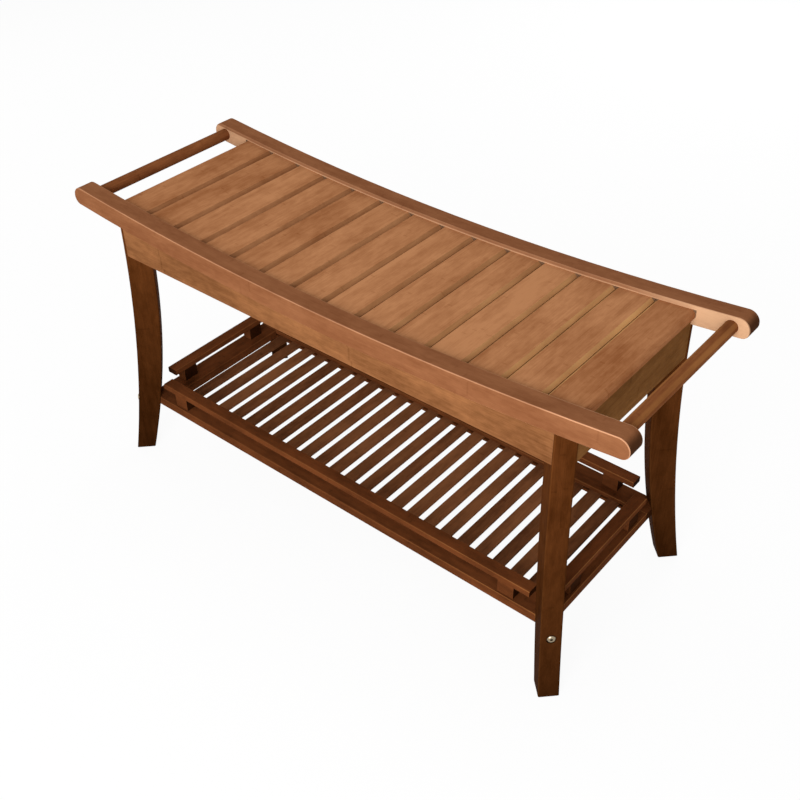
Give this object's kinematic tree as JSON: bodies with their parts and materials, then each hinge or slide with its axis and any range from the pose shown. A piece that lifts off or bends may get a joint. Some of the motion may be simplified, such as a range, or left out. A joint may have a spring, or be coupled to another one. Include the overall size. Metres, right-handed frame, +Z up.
{
  "type": "spa bench",
  "caption": "Stained bamboo spa bench: slatted seat between curved rails with a towel bar at each end, sabre legs turned 45 degrees, and a slatted shelf with a low gallery.",
  "frame": {"origin": "on the floor under the middle of the seat", "axes": "+X along the bench to its right end, +Y to the rear, +Z up"},
  "size_m": [0.9906, 0.3818, 0.4825],
  "materials": {
    "rail_bamboo": "satin stained bamboo",
    "seat_bamboo": "satin stained bamboo",
    "leg_bamboo": "satin stained bamboo",
    "shelf_bamboo": "satin stained bamboo",
    "screw_steel": "plain steel"
  },
  "bodies": {
    "root": {"rear_top_rail": "rail_bamboo", "front_top_rail": "rail_bamboo", "left_towel_bar": "rail_bamboo", "right_towel_bar": "rail_bamboo", "rear_apron": "rail_bamboo", "front_apron": "rail_bamboo", "left_apron": "rail_bamboo", "right_apron": "rail_bamboo", "corner_braces": "rail_bamboo", "rear_shelf_rail": "shelf_bamboo", "front_shelf_rail": "shelf_bamboo", "left_shelf_rail": "shelf_bamboo", "right_shelf_rail": "shelf_bamboo", "rear_gallery_rail": "shelf_bamboo", "front_gallery_rail": "shelf_bamboo", "left_gallery_rail": "shelf_bamboo", "right_gallery_rail": "shelf_bamboo", "spacer_blocks": "shelf_bamboo", "front_left_leg": "leg_bamboo", "front_right_leg": "leg_bamboo", "rear_left_leg": "leg_bamboo", "rear_right_leg": "leg_bamboo", "seat_slat_01": "seat_bamboo", "seat_slat_02": "seat_bamboo", "seat_slat_03": "seat_bamboo", "seat_slat_04": "seat_bamboo", "seat_slat_05": "seat_bamboo", "seat_slat_06": "seat_bamboo", "seat_slat_07": "seat_bamboo", "seat_slat_08": "seat_bamboo", "seat_slat_09": "seat_bamboo", "seat_slat_10": "seat_bamboo", "seat_slat_11": "seat_bamboo", "seat_slat_12": "seat_bamboo", "seat_slat_13": "seat_bamboo", "seat_slat_14": "seat_bamboo", "shelf_slat_01": "shelf_bamboo", "shelf_slat_02": "shelf_bamboo", "shelf_slat_03": "shelf_bamboo", "shelf_slat_04": "shelf_bamboo", "shelf_slat_05": "shelf_bamboo", "shelf_slat_06": "shelf_bamboo", "shelf_slat_07": "shelf_bamboo", "shelf_slat_08": "shelf_bamboo", "shelf_slat_09": "shelf_bamboo", "shelf_slat_10": "shelf_bamboo", "shelf_slat_11": "shelf_bamboo", "shelf_slat_12": "shelf_bamboo", "shelf_slat_13": "shelf_bamboo", "shelf_slat_14": "shelf_bamboo", "shelf_slat_15": "shelf_bamboo", "shelf_slat_16": "shelf_bamboo", "shelf_slat_17": "shelf_bamboo", "shelf_slat_18": "shelf_bamboo", "shelf_slat_19": "shelf_bamboo", "shelf_slat_20": "shelf_bamboo", "shelf_slat_21": "shelf_bamboo", "shelf_slat_22": "shelf_bamboo", "shelf_slat_23": "shelf_bamboo", "leg_screws": "screw_steel"}
  },
  "joints": []
}
